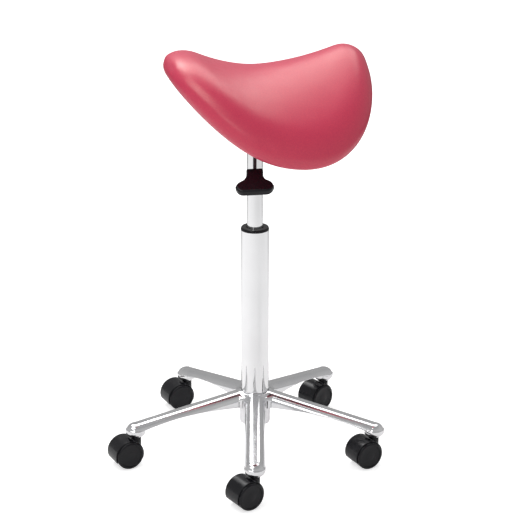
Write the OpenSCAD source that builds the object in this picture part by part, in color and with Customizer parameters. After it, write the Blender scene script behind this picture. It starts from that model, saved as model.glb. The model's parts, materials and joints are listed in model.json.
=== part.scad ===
// Height-adjustable saddle stool on a five-arm base with twin-wheel casters.
// +X points to the front of the saddle, +Y to the sitter's left, +Z up.
// The origin is on the floor, on the axis of the column.

/* [Base] */
// Radius from the column axis to each caster's swivel axis
caster_circle = 224; // [205:1:260]
// Direction of the first arm, seen from above
first_arm_angle = -102; // [-180:1:180]
// Width of an arm
arm_w = 36; // [32:1:38]
// Height of an arm's top where it leaves the column
arm_root_z = 114; // [112:1:118]
// Height of an arm's top at its tip
arm_tip_z = 76; // [75:1:80]
// Radius of the fillet between two arms, seen from above
web_fillet_r = 16; // [10:1:24]

/* [Column] */
// Outside diameter of the column tube
column_d = 50; // [50:1:52]
// Height of the column tube's top edge
column_top_z = 419; // [400:1:430]
// Length of the guide bush inside the column
bush_len = 119; // [80:1:130]

/* [Gas lift] */
// Outside diameter of the sliding cylinder
lift_d = 28; // [27:0.5:28]
// Height of the sliding cylinder's lower end
lift_bottom_z = 280; // [260:1:290]
// Height of the sliding cylinder's upper end
lift_top_z = 608; // [606:1:610]
// Diameter of the piston rod
rod_d = 10; // [8:0.5:10]

/* [Casters] */
// Diameter of a wheel
wheel_d = 50; // [48:1:51]
// Distance between the outer faces of a caster's two wheels
wheel_span = 47; // [44:1:50]
// Horizontal distance from a caster's swivel axis to its axle
trail = 21; // [19:1:23]
// Direction in which each caster trails, seen from above
caster_headings = [202, 197, 210, 195, 196];

/* [Saddle] */
// Length of the saddle in front of its lowest line
front_len = 176; // [150:1:190]
// Length of the saddle behind its lowest line
rear_len = 166; // [150:1:180]
// Half of the saddle's width, measured flat
half_w = 195; // [170:1:200]
// Rise of the front end above the lowest line
front_rise = 35; // [20:1:50]
// Rise of the rear end above the lowest line
rear_rise = 59; // [30:1:70]
// Drop of the side flaps below the middle
side_drop = 91; // [70:1:100]
// Padding above the saddle's middle surface
top_pad = 34; // [30:1:40]
// Padding and shell below the saddle's middle surface
under_pad = 30; // [28:1:34]
// Height of the middle surface at its lowest line
saddle_z = 675.5; // [674:0.5:690]

/* [Lever] */
// Direction of the lever, seen from above
lever_angle = -102; // [-120:1:-60]
// Slope of the lever below horizontal
lever_slope = 30.5; // [25:0.5:32]
// Width of the lever's paddle
paddle_w = 62; // [50:1:80]
// Length of the lever's paddle
paddle_len = 52; // [46:1:60]
// Thickness of the lever's paddle
paddle_t = 13; // [10:0.5:14]

/* [Hidden] */
$fn = 96;

// Shared clearances
slip = 0.04;   // radial gap of a running or sliding fit
pad_gap = 0.8; // gap between the saddle's layers, which are faceted
seal_gap = 0.2;
weld_gap = 0.05;
eps = 0.01;    // overlap that joins the pieces of one solid
past = 1;      // cutters run this far past what they cut

// Base
arms = 5;
arm_step = 360 / arms;
arm_slope = atan((arm_root_z - arm_tip_z) / (caster_circle - column_d / 2));
crest_z = arm_root_z + column_d / 2 * tan(arm_slope);  // the crests meet here on the axis
arm_side_z = 87;        // lower edge of an arm near the hub
arm_level_r = 98;       // the lower edge is level out to here
arm_mid_r = 148;        // and dips faster from here to the tip
arm_mid_z = 81;
arm_end_z = 63;
arm_depth = 60;         // the arm's section reaches this far below its crest
arm_wall = 4.5;
arm_edge_r = 11;        // rounding along an arm's top edges
tip_swell = 0.3;        // the tip stands this far proud of the arm's sides
web_overlap = 0.3;      // the fillets run this far into the arms' sides
web_drop = 5;           // the webs' tops lie this far below the arms' crests
tip_bottom_z = 52;
hub_r = 30;
hub_bottom_z = 85;
hub_top_z = 112;
web_bottom_z = 86;
boss_r = 27.5;
boss_bottom_z = 50;
seat_taper_z = 115;     // top of the taper that holds the column
socket_gap = 1.1;       // the bore below the column's end is this much narrower than it
pocket_margin = 12;     // the arms' hollows start this far outside the hub
column_bottom_z = 62;
taper_r = 23.6;         // column radius at its lower end
column_wall = 2;
column_floor = 3;
rim_h = 5;              // height of the guide bush's rim above the column

// Caster stems
stem_r = 5.5;
stem_top_z = 71;
stem_shoulder_r = 7;
stem_shoulder_h = 2;
stem_pin_r = 4;
stem_pin_bottom_z = 30;
stem_pin_h = 40;
ring_z = 66;
ring_h = 3;
ring_groove = 0.5;      // depth of the groove in the base that takes the grip ring
stem_groove = 1.2;      // depth of the groove in the stem
ring_slack = 0.1;       // the ring is this much smaller than its grooves
ring_mouth = 2;

// Thrust bearing and rod end, from the column floor upwards
bearing_z = column_bottom_z + column_floor;
race_h = 2;
race_r = 15;
race_bore_r = 5;
ball_r = 2.5;
balls = 8;
ball_circle_r = 10.5;
lower_race_top = bearing_z + race_h;
ball_z = lower_race_top + ball_r + slip;
upper_race_z = ball_z + ball_r + slip;
buffer_z = upper_race_z + race_h;
buffer_r = 13;
buffer_h = 10;
buffer_gap = 0.05;
washer_z = buffer_z + buffer_h;
buffer_washer_r = 12;
washer_h = 2;
cage_h = 1.8;
cage_edge = 0.5;        // the cage is this much narrower than the races
rod_shoulder_z = washer_z + washer_h;
spigot_r = 4;
tail_r = 3.5;           // radius of the rod where the piston sits
tail_h = 7;             // it stands this far above the piston
rod_end_z = 55;
clip_h = 1.5;
clip_gap = 0.1;
clip_washer_r = 9;
clip_r = 7;
clip_mouth = 4;
clip_groove = 0.5;      // depth of the groove that holds the clip
clip_washer_z = column_bottom_z - clip_h - clip_gap;
clip_z = clip_washer_z - clip_h - clip_gap;

// Gas lift
lift_r = lift_d / 2;
lift_bore_r = lift_r - 1.5;
lip_h = 3;
lip_w = 2;
cone_h = 34;
cone_top_r = lift_r - 0.8;
guide_z = lift_bottom_z + lip_h + eps;
guide_h = 16;
seal_z = guide_z + guide_h + seal_gap;
seal_h = 6;
piston_z = 382;
piston_h = 14;
piston_r = lift_bore_r - 0.08;
piston_groove_r = 10;
piston_groove_h = 3;
o_ring_r = 1.2;
nut_r = 7.5;
nut_h = 5;
cone_tube_wall = 1.5;
valve_z = lift_top_z - 23;
valve_top_z = lift_top_z - 1;
pin_r = 3;
pin_in = 6;             // the pin reaches down to this far above the valve's lower end
pin_dome = 1;

// Mechanism under the seat
plate_top_z = 637;
plate_t = 4;
plate_l = 160;
plate_w = 90;
plate_bottom_z = plate_top_z - plate_t;
bolt_x = 62;
bolt_y = 30;
bolt_r = 4;
bolt_play = 0.4;        // the plate's holes are this much wider than the bolts
bolt_head_h = 5;
bolt_flats = 13;
washer_r = 8;
washer_t = 1.6;
insert_r = 5.5;
insert_h = 7;
bolt_short = 1;         // the bolts end this far below the top of their nuts
housing_r = 34;
housing_wall = 3;
housing_bottom_z = 594;
cone_wall = 3;
lever_z = lift_top_z + 11;
lever_r = 3;
lever_in = -2;          // inner end of the lever rod, measured along the lever
pivot_x = 20;
elbow_x = 25;
pivot_r = 2.5;
pivot_boss_r = 6;
pivot_boss_w = 12;
ear_t = 3;
ear_half = 5;           // half of an ear's width
ear_in = pivot_boss_w / 2 + 0.3;   // inner faces of the ears
bar_t = 3;              // the bar that joins the ears
paddle_x = 120;         // where the paddle starts, measured along the lever
lever_run = (paddle_x - elbow_x) / cos(lever_slope);
paddle_bore = 40;
pin_top_z = lever_z - lever_r - 0.1;
slot_gap = 2;           // the lever's slot in the housing is this much wider each side
slot_sill = 5;
slot_head = 3;

// Casters
wheel_r = wheel_d / 2;
web_t = 12;
wheel_gap = 1;
wheel_w = wheel_span / 2 - web_t / 2 - wheel_gap;
axle_r = 3;
hood_r = wheel_r + 2.2;
hood_w = 40;
hood_wall = 1.6;
hood_rim_z = 14.5;
neck_r = 9;
neck_bottom = 4;        // the neck starts this far above the axle
neck_top_z = 50;
axle_end = 6;           // the axle ends this far inside the wheels' outer faces

// Saddle
seat_shift = 17;        // the lowest line lies this far in front of the column
seat_pitch = 4;         // the front is tipped up by this angle
rear_outline_power = 2.48;   // 2 is an ellipse, larger is squarer
front_outline_power = 2.35;
crest_flat = 0.1;       // the rolled edge is this much narrower at the front's crest
front_widening = 0.108;
rise_power = 1.9;
drop_power = 1.8;
drop_power_change = 0.6;  // makes the front a sharper crest than the rear
front_extra_drop = 0.2;
flat_share = 0.73;     // share of the outline inside the rolled edge
flat_change = 0.02;
seat_facets = 48;
flat_steps = 6;
roll_steps = 8;
cover_t = 2;
pan_t = 9;
pan_share = 0.35;       // how far the pan reaches into the rolled edge
pan_chamfer = 4;
foam_lip = 0.01;        // share of the outline between the pan's edge and the foam
wrap_share = 0.86;      // how far the cover is wrapped under the pan
dust_t = 1.5;
dust_gap = 1.2;         // gap between the dust cover and the cover above it
dust_share = 0.95;      // share of the flat part that the dust cover spans
dust_steps = 4;
dust_margin = 2;        // its opening is this much wider than the plate on each side
block_l = 150;
block_w = 84;

// ---------------------------------------------------------------- helpers

// Height profile of the saddle's middle surface, before it is tipped
function lengthwise(x) = x > 0 ? x / front_len : x / rear_len;
function middle_z(x, y) =
  let (u = lengthwise(x), rise = u > 0 ? front_rise : rear_rise)
  rise * pow(abs(u), rise_power)
  - side_drop * (1 + front_extra_drop * u)
    * pow(abs(y) / half_w + 1e-6, drop_power - drop_power_change * u);

// Outward unit normal of the middle surface
function middle_normal(x, y) =
  let (d = 0.5,
       sx = (middle_z(x + d, y) - middle_z(x - d, y)) / (2 * d),
       sy = (middle_z(x, y + d) - middle_z(x, y - d)) / (2 * d),
       n = [-sx, -sy, 1])
  n / norm(n);

// Outline of the saddle seen from above, at angle t
function soft_power(v, power) = sign(v) * pow(abs(v), 2 / power);
function outline(t) =
  let (power = cos(t) > 0 ? front_outline_power : rear_outline_power,
       c = soft_power(cos(t), power), s = soft_power(sin(t), power))
  [(c > 0 ? front_len : rear_len) * c, half_w * s * (1 + front_widening * c)];
function flat_part(t) = flat_share - flat_change * cos(t) + crest_flat * pow(max(cos(t), 0), 6);

// A point of the tipped saddle: share of the outline, and height above the middle
function saddle_point(t, share, h) =
  let (p = outline(t) * share,
       q = [p[0], p[1], middle_z(p[0], p[1])] + h * middle_normal(p[0], p[1]))
  [seat_shift + q[0] * cos(seat_pitch) - q[2] * sin(seat_pitch),
   q[1],
   saddle_z + q[0] * sin(seat_pitch) + q[2] * cos(seat_pitch)];

// Half of the rolled edge, inset from the outer skin, from its flat part outwards
function rolled_edge(t, inset, pad, side) =
  let (flat = flat_part(t), reach = 1 - flat - inset / norm(outline(t)))
  [for (i = [0 : roll_steps])
     let (a = 90 * i / roll_steps)
     [flat + reach * sin(a), side * (pad - inset) * cos(a)]];

function flat_run(t, h) = [for (s = [1 : flat_steps - 1]) [flat_part(t) * s / flat_steps, h]];
function reversed(list) = [for (i = [len(list) - 1 : -1 : 0]) list[i]];
function flatten(list) = [for (row = list) each row];

// The outer path of the padding, from the top's centre round the rolled edge to the
// place under it where the share of the outline has fallen to stop
function padding_path(t, inset, stop) =
  let (flat = flat_part(t),
       reach = 1 - flat - inset / norm(outline(t)),
       last = asin(max(stop - flat, 0) / reach))
  concat(
    flat_run(t, top_pad - inset),
    rolled_edge(t, inset, top_pad, 1),
    [for (i = [1 : roll_steps])
       let (a = 90 + (last - 90) * i / roll_steps)
       [flat + reach * sin(a), -(under_pad - inset) * cos(a)]]);

// A closed solid round the saddle's centre. path(t) gives [share, height] pairs
// from the top's centre to the bottom's centre, without the two centres. Each four-sided
// cell is split from its inner corner at t to its outer corner at the next t, whichever
// way the path runs, so that neighbouring layers have parallel facets.
module saddle_solid(path, top_h, bottom_h) {
  first = path(0);
  m = len(first);
  n = seat_facets;
  rings = [for (i = [0 : n - 1]) let (t = 360 * i / n)
    [for (s = path(t)) saddle_point(t, s[0], s[1])]];
  points = concat([saddle_point(0, 0, top_h), saddle_point(0, 0, bottom_h)], flatten(rings));
  function at(i, j) = 2 + (i % n) * m + j;
  caps = [for (i = [0 : n - 1])
    each [[0, at(i + 1, 0), at(i, 0)], [1, at(i, m - 1), at(i + 1, m - 1)]]];
  sides = [for (i = [0 : n - 1], j = [0 : m - 2])
    let (a = at(i, j), b = at(i + 1, j), c = at(i + 1, j + 1), d = at(i, j + 1))
    each first[j + 1][0] < first[j][0] ? [[a, b, d], [b, c, d]] : [[a, b, c], [a, c, d]]];
  polyhedron(points, concat(caps, sides), convexity = 6);
}

module ring(r_out, r_in, h) {
  difference() {
    cylinder(r = r_out, h = h);
    translate([0, 0, -past]) cylinder(r = r_in, h = h + 2 * past);
  }
}

// Repeats its children at every arm, with +X along the arm
module at_arms() {
  for (k = [0 : arms - 1]) rotate([0, 0, first_arm_angle + k * arm_step]) children();
}

// The frame of caster n: on its swivel axis, with +X along its trail
module at_caster(n) {
  arm = first_arm_angle + (n - 1) * arm_step;
  translate([caster_circle * cos(arm), caster_circle * sin(arm), 0])
    rotate([0, 0, caster_headings[n - 1]]) children();
}

// The frame of the lever: +X along the lever, seen from above
module at_lever() {
  rotate([0, 0, lever_angle]) children();
}

module at_bolts() {
  for (x = [-bolt_x, bolt_x], y = [-bolt_y, bolt_y]) translate([x, y, 0]) children();
}

// ------------------------------------------------------------------- base

// Cross-section of an arm: flat sides, a rounded top, its crest at y = 0
module arm_section(width, edge_r, depth) {
  translate([-width / 2, -depth]) square([width, depth - edge_r]);
  translate([-width / 2 + edge_r, -depth]) square([width - 2 * edge_r, depth]);
  for (s = [-1, 1]) translate([s * (width / 2 - edge_r), -edge_r]) circle(r = edge_r);
}

module arm_bar(width, edge_r, drop, from, to) {
  translate([0, 0, crest_z - drop]) rotate([0, arm_slope, 0]) translate([from, 0, 0])
    rotate([90, 0, 90]) linear_extrude(to - from) arm_section(width, edge_r, arm_depth);
}

module arm_side_view() {
  above = crest_z + past;
  rotate([90, 0, 0]) linear_extrude(arm_w + 2 * past, center = true)
    polygon([[0, arm_side_z], [arm_level_r, arm_side_z], [arm_mid_r, arm_mid_z],
             [caster_circle, arm_end_z], [caster_circle, above], [0, above]]);
}

// The arm's upright round end, which holds a caster stem
module arm_tip() {
  r = arm_w / 2 + tip_swell;
  top_z = arm_tip_z - tip_swell;
  low = 10;
  high = 13;
  rotate_extrude() {
    translate([0, tip_bottom_z]) square([r - low, top_z - tip_bottom_z]);
    translate([0, tip_bottom_z + low]) square([r, top_z - tip_bottom_z - low - high]);
    intersection() {
      translate([r - low, tip_bottom_z + low]) circle(r = low);
      translate([0, tip_bottom_z]) square([r, low + eps]);
    }
    intersection() {
      translate([r - high, top_z - high]) circle(r = high);
      translate([0, top_z - high - eps]) square([r, high + eps]);
    }
  }
}

// Fillet between this arm and the next one, seen from above
module web_fillet() {
  half = arm_step / 2;
  corner = arm_w / 2 / sin(half);
  reach = web_fillet_r / tan(half);
  centre = corner + web_fillet_r / sin(half);
  x = (corner + reach) * cos(half);
  y = (corner + reach) * sin(half);
  rotate(half) difference() {
    polygon([[0, 0], [x, y], [centre - web_fillet_r / 2, 0], [x, -y]]);
    translate([centre, 0]) circle(r = web_fillet_r + web_overlap);
  }
}

// The webs between the arms, cut to slope as the arms do
module webs() {
  h = crest_z - web_drop;
  intersection() {
    translate([0, 0, web_bottom_z]) linear_extrude(crest_z - web_bottom_z)
      for (k = [0 : arms - 1]) rotate(first_arm_angle + k * arm_step) web_fillet();
    cylinder(r1 = h / tan(arm_slope), r2 = 0, h = h);
  }
}

module column_socket() {
  cylinder(r = taper_r - socket_gap, h = column_bottom_z + eps);
  translate([0, 0, column_bottom_z])
    cylinder(r1 = taper_r, r2 = column_d / 2, h = seat_taper_z - column_bottom_z);
  translate([0, 0, seat_taper_z - eps]) cylinder(r = column_d / 2, h = crest_z - seat_taper_z + past);
}

module base_star() {
  color("gainsboro") difference() {
    union() {
      at_arms() intersection() {
        arm_bar(arm_w, arm_edge_r, 0, 0, caster_circle + arm_w);
        arm_side_view();
      }
      at_arms() translate([caster_circle, 0, 0]) arm_tip();
      webs();
      translate([0, 0, boss_bottom_z]) cylinder(r = boss_r, h = arm_side_z - boss_bottom_z);
      translate([0, 0, hub_bottom_z]) cylinder(r = hub_r, h = hub_top_z - hub_bottom_z);
    }
    at_arms() arm_bar(arm_w - 2 * arm_wall, arm_edge_r - arm_wall, arm_wall,
                      hub_r + pocket_margin, caster_circle - arm_w / 2 + arm_wall);
    column_socket();
    at_arms() translate([caster_circle, 0, 0]) {
      translate([0, 0, tip_bottom_z - past])
        cylinder(r = stem_r, h = stem_top_z - tip_bottom_z + 2 * past);
      translate([0, 0, ring_z]) cylinder(r = stem_r + ring_groove, h = ring_h + ring_groove);
    }
  }
}

module caster_stems() {
  color("silver") at_arms() translate([caster_circle, 0, 0]) difference() {
    union() {
      translate([0, 0, stem_pin_bottom_z]) cylinder(r = stem_pin_r, h = stem_pin_h);
      translate([0, 0, tip_bottom_z - stem_shoulder_h])
        cylinder(r = stem_shoulder_r, h = stem_shoulder_h);
      translate([0, 0, tip_bottom_z - eps])
        cylinder(r = stem_r - slip, h = stem_top_z - tip_bottom_z);
    }
    translate([0, 0, ring_z]) ring(stem_r + past, stem_r - stem_groove, ring_h);
  }
}

module grip_rings() {
  color("silver") at_arms() translate([caster_circle, 0, ring_z + ring_slack / 2]) difference() {
    ring(stem_r + ring_groove - ring_slack, stem_r - stem_groove + ring_slack, ring_h - ring_slack);
    translate([0, -ring_mouth / 2, -past]) cube([2 * stem_r, ring_mouth, ring_h + 2 * past]);
  }
}

// ----------------------------------------------------------------- column

module column_tube() {
  h = seat_taper_z - column_bottom_z;
  color("white") difference() {
    union() {
      translate([0, 0, column_bottom_z]) cylinder(r1 = taper_r, r2 = column_d / 2, h = h);
      translate([0, 0, seat_taper_z]) cylinder(r = column_d / 2, h = column_top_z - seat_taper_z);
    }
    translate([0, 0, bearing_z])
      cylinder(r1 = taper_r - column_wall, r2 = column_d / 2 - column_wall, h = h - column_floor);
    translate([0, 0, seat_taper_z - eps])
      cylinder(r = column_d / 2 - column_wall, h = column_top_z);
    translate([0, 0, column_bottom_z - past])
      cylinder(r = race_bore_r, h = column_floor + 2 * past);
  }
}

// Long plastic bush with a domed rim that caps the column
module guide_bush() {
  r_in = lift_r + slip;
  lip = 1.5;
  rim_mid = (column_d / 2 + r_in) / 2;
  rim_half = (column_d / 2 - r_in) / 2;
  color("black") {
    translate([0, 0, column_top_z - bush_len])
      ring(column_d / 2 - column_wall - slip / 2, r_in, bush_len + eps);
    rotate_extrude() translate([0, column_top_z]) {
      translate([r_in, 0]) square([column_d / 2 - r_in, lip]);
      intersection() {
        translate([rim_mid, lip]) circle(r = rim_half);
        square([column_d / 2, rim_h]);
      }
    }
  }
}

// -------------------------------------------------- thrust bearing and rod

module lower_race() {
  color("silver") translate([0, 0, bearing_z]) ring(race_r, race_bore_r, race_h);
}

module at_balls() {
  for (i = [0 : balls - 1]) rotate([0, 0, i * 360 / balls]) translate([ball_circle_r, 0, 0])
    children();
}

module bearing_cage() {
  color("goldenrod") translate([0, 0, ball_z - cage_h / 2]) difference() {
    ring(race_r - cage_edge, race_bore_r + 2 * cage_edge, cage_h);
    at_balls() translate([0, 0, -past]) cylinder(r = ball_r + slip, h = cage_h + 2 * past);
  }
}

module bearing_balls() {
  color("silver") at_balls() translate([0, 0, ball_z]) sphere(r = ball_r);
}

module upper_race() {
  color("silver") translate([0, 0, upper_race_z]) ring(race_r, spigot_r + slip, race_h);
}

module rubber_buffer() {
  color("dimgray") translate([0, 0, buffer_z + buffer_gap])
    ring(buffer_r, spigot_r + slip, buffer_h - 2 * buffer_gap);
}

module buffer_washer() {
  color("silver") translate([0, 0, washer_z]) ring(buffer_washer_r, spigot_r + slip, washer_h);
}

module clip_washer() {
  color("silver") translate([0, 0, clip_washer_z])
    ring(clip_washer_r, spigot_r + slip, clip_h);
}

module retaining_clip() {
  color("silver") translate([0, 0, clip_z]) difference() {
    ring(clip_r, spigot_r - clip_groove, clip_h);
    translate([0, -clip_mouth / 2, -past]) cube([clip_r + past, clip_mouth, clip_h + 2 * past]);
  }
}

module piston_rod() {
  color("silver") difference() {
    union() {
      translate([0, 0, rod_end_z]) cylinder(r = spigot_r, h = rod_shoulder_z - rod_end_z + eps);
      translate([0, 0, rod_shoulder_z]) cylinder(r = rod_d / 2, h = piston_z - rod_shoulder_z);
      translate([0, 0, piston_z - eps]) cylinder(r = tail_r, h = piston_h + tail_h);
    }
    translate([0, 0, clip_z - clip_gap / 2])
      ring(spigot_r + past, spigot_r - clip_groove - slip, clip_h + clip_gap);
  }
}

module piston() {
  color("silver") translate([0, 0, piston_z]) difference() {
    ring(piston_r, tail_r, piston_h);
    translate([0, 0, (piston_h - piston_groove_h) / 2])
      ring(piston_r + past, piston_groove_r, piston_groove_h);
  }
}

module piston_seal() {
  color("black") translate([0, 0, piston_z + piston_h / 2]) rotate_extrude()
    translate([lift_bore_r - slip - o_ring_r, 0]) circle(r = o_ring_r);
}

module piston_nut() {
  color("silver") translate([0, 0, piston_z + piston_h + weld_gap]) difference() {
    cylinder(r = nut_r, h = nut_h, $fn = 6);
    translate([0, 0, -past]) cylinder(r = tail_r + slip, h = nut_h + 2 * past);
  }
}

// --------------------------------------------------------------- gas lift

module lift_cylinder() {
  color("white") difference() {
    union() {
      translate([0, 0, lift_bottom_z])
        cylinder(r = lift_r, h = lift_top_z - cone_h - lift_bottom_z);
      translate([0, 0, lift_top_z - cone_h]) cylinder(r1 = lift_r, r2 = cone_top_r, h = cone_h);
    }
    translate([0, 0, lift_bottom_z + lip_h])
      cylinder(r = lift_bore_r, h = lift_top_z - cone_h - lift_bottom_z - lip_h);
    translate([0, 0, lift_top_z - cone_h - eps])
      cylinder(r = cone_top_r - cone_tube_wall, h = cone_h + past);
    translate([0, 0, lift_bottom_z - past])
      cylinder(r = lift_bore_r - lip_w, h = lip_h + 2 * past);
  }
}

module rod_guide() {
  color("dimgray") translate([0, 0, guide_z])
    ring(lift_bore_r - slip / 2, rod_d / 2 + slip, guide_h);
}

module rod_seal() {
  color("black") translate([0, 0, seal_z]) ring(lift_bore_r - slip, rod_d / 2 + slip, seal_h);
}

module valve_body() {
  color("silver") translate([0, 0, valve_z])
    ring(cone_top_r - cone_tube_wall - slip / 2, pin_r + slip, valve_top_z - valve_z);
}

// The button that opens the valve, with a domed top
module release_pin() {
  bottom = valve_z + pin_in;
  h = pin_top_z - bottom;
  dome_r = (pin_r * pin_r + pin_dome * pin_dome) / (2 * pin_dome);
  color("silver") translate([0, 0, bottom]) rotate_extrude() intersection() {
    square([pin_r, h]);
    union() {
      square([pin_r, h - pin_dome]);
      translate([0, h - dome_r]) circle(r = dome_r);
    }
  }
}

// ------------------------------------------------- mechanism and lever

module cone_socket() {
  below = 1;   // the cylinder's cone starts this far below the socket
  color("dimgray") translate([0, 0, lift_top_z - cone_h + below]) difference() {
    cylinder(r = lift_r + cone_wall, h = cone_h - below);
    translate([0, 0, -below]) cylinder(r1 = lift_r, r2 = cone_top_r, h = cone_h);
  }
}

// Round cup welded under the plate. The lever leaves through a slot.
module lever_housing() {
  h = plate_bottom_z - housing_bottom_z;
  color("dimgray") translate([0, 0, housing_bottom_z]) difference() {
    cylinder(r = housing_r, h = h);
    translate([0, 0, housing_wall]) cylinder(r = housing_r - housing_wall, h = h);
    translate([0, 0, -past]) cylinder(r = lift_r + cone_wall, h = housing_wall + 2 * past);
    at_lever() translate([housing_r - 2 * housing_wall, -lever_r - slot_gap, slot_sill])
      cube([4 * housing_wall, 2 * (lever_r + slot_gap), h - slot_sill - slot_head]);
  }
}

// Two ears under the plate that carry the lever's pivot pin
module pivot_bracket() {
  top = plate_bottom_z - weld_gap;
  half = ear_in + ear_t;
  color("dimgray") at_lever() difference() {
    union() {
      for (s = [-1, 1]) translate([pivot_x, s * (ear_in + ear_t / 2), lever_z]) {
        translate([-ear_half, -ear_t / 2, 0]) cube([2 * ear_half, ear_t, top - lever_z - eps]);
        translate([0, ear_t / 2, 0]) rotate([90, 0, 0]) cylinder(r = ear_half, h = ear_t);
      }
      translate([pivot_x - ear_half, -half, top - bar_t]) cube([2 * ear_half, 2 * half, bar_t]);
    }
    translate([pivot_x, half + past, lever_z]) rotate([90, 0, 0])
      cylinder(r = pivot_r, h = 2 * (half + past));
  }
}

module pivot_pin() {
  half = ear_in + ear_t + 1;
  color("silver") at_lever() translate([pivot_x, half, lever_z]) rotate([90, 0, 0])
    cylinder(r = pivot_r, h = 2 * half);
}

// Bent rod: it presses the release pin at one end and holds the paddle at the other
module lever_rod() {
  color("black") at_lever() difference() {
    union() {
      translate([lever_in, 0, lever_z]) rotate([0, 90, 0])
        cylinder(r = lever_r, h = elbow_x - lever_in);
      translate([elbow_x, 0, lever_z]) sphere(r = lever_r);
      translate([elbow_x, 0, lever_z]) rotate([0, 90 + lever_slope, 0])
        cylinder(r = lever_r, h = lever_run + paddle_bore - past);
      translate([pivot_x, pivot_boss_w / 2, lever_z]) rotate([90, 0, 0])
        cylinder(r = pivot_boss_r, h = pivot_boss_w);
    }
    translate([pivot_x, pivot_boss_w, lever_z]) rotate([90, 0, 0])
      cylinder(r = pivot_r + slip, h = 2 * pivot_boss_w);
  }
}

// Outline of the paddle, from its neck to its two round lobes
module paddle_outline() {
  neck_w = 28;
  neck_len = 20;
  corner = 3;
  lobe_r = 12.5;
  lobe_x = paddle_len - lobe_r;
  lobe_y = paddle_w / 2 - lobe_r;
  translate([0, -neck_w / 2 + corner]) square([lobe_x, neck_w - 2 * corner]);
  for (s = [-1, 1]) translate([corner, s * (neck_w / 2 - corner)]) circle(r = corner);
  translate([corner, -neck_w / 2]) square([lobe_x - corner, neck_w]);
  hull() {
    for (s = [-1, 1]) translate([lobe_x, s * lobe_y]) circle(r = lobe_r);
    translate([neck_len - past, -neck_w / 2]) square([past, neck_w]);
  }
}

module lever_paddle() {
  color("black") at_lever() translate([elbow_x, 0, lever_z]) rotate([0, lever_slope, 0])
    translate([lever_run, 0, 0]) difference() {
      translate([0, 0, -paddle_t / 2]) linear_extrude(paddle_t) paddle_outline();
      translate([-past, 0, 0]) rotate([0, 90, 0])
        cylinder(r = lever_r + slip / 2, h = paddle_bore + past);
    }
}

// ------------------------------------------------------- seat fastening

module seat_plate() {
  corner = 10;
  color("dimgray") translate([0, 0, plate_bottom_z]) difference() {
    union() {
      translate([-plate_l / 2 + corner, -plate_w / 2, 0])
        cube([plate_l - 2 * corner, plate_w, plate_t]);
      translate([-plate_l / 2, -plate_w / 2 + corner, 0])
        cube([plate_l, plate_w - 2 * corner, plate_t]);
      for (x = [-1, 1], y = [-1, 1])
        translate([x * (plate_l / 2 - corner), y * (plate_w / 2 - corner), 0])
          cylinder(r = corner, h = plate_t);
    }
    at_bolts() translate([0, 0, -past]) cylinder(r = bolt_r + bolt_play, h = plate_t + 2 * past);
  }
}

module plate_bolts() {
  under = plate_bottom_z - washer_t;
  color("silver") at_bolts() {
    translate([0, 0, under - bolt_head_h])
      cylinder(r = bolt_flats / 2 / cos(30), h = bolt_head_h, $fn = 6);
    translate([0, 0, under - eps]) cylinder(r = bolt_r, h = washer_t + plate_t + insert_h - bolt_short);
  }
}

module bolt_washers() {
  color("silver") at_bolts() translate([0, 0, plate_bottom_z - washer_t])
    ring(washer_r, bolt_r + slip, washer_t);
}

module insert_nuts() {
  color("silver") at_bolts() translate([0, 0, plate_top_z]) ring(insert_r, bolt_r + slip, insert_h);
}

// Height of the pan's underside above the floor, at a place under the saddle
function pan_under_z(x, y) =
  let (h = -(under_pad - cover_t - pad_gap),
       x0 = (x - seat_shift) / cos(seat_pitch),
       n = middle_normal(x0, y))
  saddle_z + x0 * sin(seat_pitch) + (middle_z(x0, y) + h / n[2]) * cos(seat_pitch);

// Block between the flat plate and the curved pan
module mounting_block() {
  nx = 12;
  ny = 8;
  function px(i) = block_l * (i / nx - 0.5);
  function py(j) = block_w * (j / ny - 0.5);
  function at(i, j, top) = (i * (ny + 1) + j) * 2 + top;
  points = [for (i = [0 : nx], j = [0 : ny])
    each [[px(i), py(j), plate_top_z], [px(i), py(j), pan_under_z(px(i), py(j)) - pad_gap]]];
  cells = [for (i = [0 : nx - 1], j = [0 : ny - 1]) each [
    [at(i, j, 1), at(i, j + 1, 1), at(i + 1, j + 1, 1)],
    [at(i, j, 1), at(i + 1, j + 1, 1), at(i + 1, j, 1)],
    [at(i, j, 0), at(i + 1, j + 1, 0), at(i, j + 1, 0)],
    [at(i, j, 0), at(i + 1, j, 0), at(i + 1, j + 1, 0)]]];
  ends = [for (j = [0 : ny - 1]) each [
    [at(0, j, 0), at(0, j + 1, 0), at(0, j + 1, 1)], [at(0, j, 0), at(0, j + 1, 1), at(0, j, 1)],
    [at(nx, j, 0), at(nx, j + 1, 1), at(nx, j + 1, 0)],
    [at(nx, j, 0), at(nx, j, 1), at(nx, j + 1, 1)]]];
  flanks = [for (i = [0 : nx - 1]) each [
    [at(i, 0, 0), at(i + 1, 0, 1), at(i + 1, 0, 0)], [at(i, 0, 0), at(i, 0, 1), at(i + 1, 0, 1)],
    [at(i, ny, 0), at(i + 1, ny, 0), at(i + 1, ny, 1)],
    [at(i, ny, 0), at(i + 1, ny, 1), at(i, ny, 1)]]];
  color("burlywood") difference() {
    polyhedron(points, concat(cells, ends, flanks), convexity = 4);
    at_bolts() translate([0, 0, plate_top_z - past]) cylinder(r = insert_r, h = insert_h + past);
  }
}

// ----------------------------------------------------------------- saddle

function pan_edge(t) = flat_part(t) + pan_share * (1 - flat_part(t));

module seat_pan() {
  low = -(under_pad - cover_t - pad_gap);
  high = low + pan_t;
  path = function (t)
    concat(flat_run(t, high), [[flat_part(t), high], [pan_edge(t), high],
      [pan_edge(t), low + pan_chamfer], [flat_part(t), low]], reversed(flat_run(t, low)));
  color("burlywood") saddle_solid(path, high, low);
}

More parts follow.
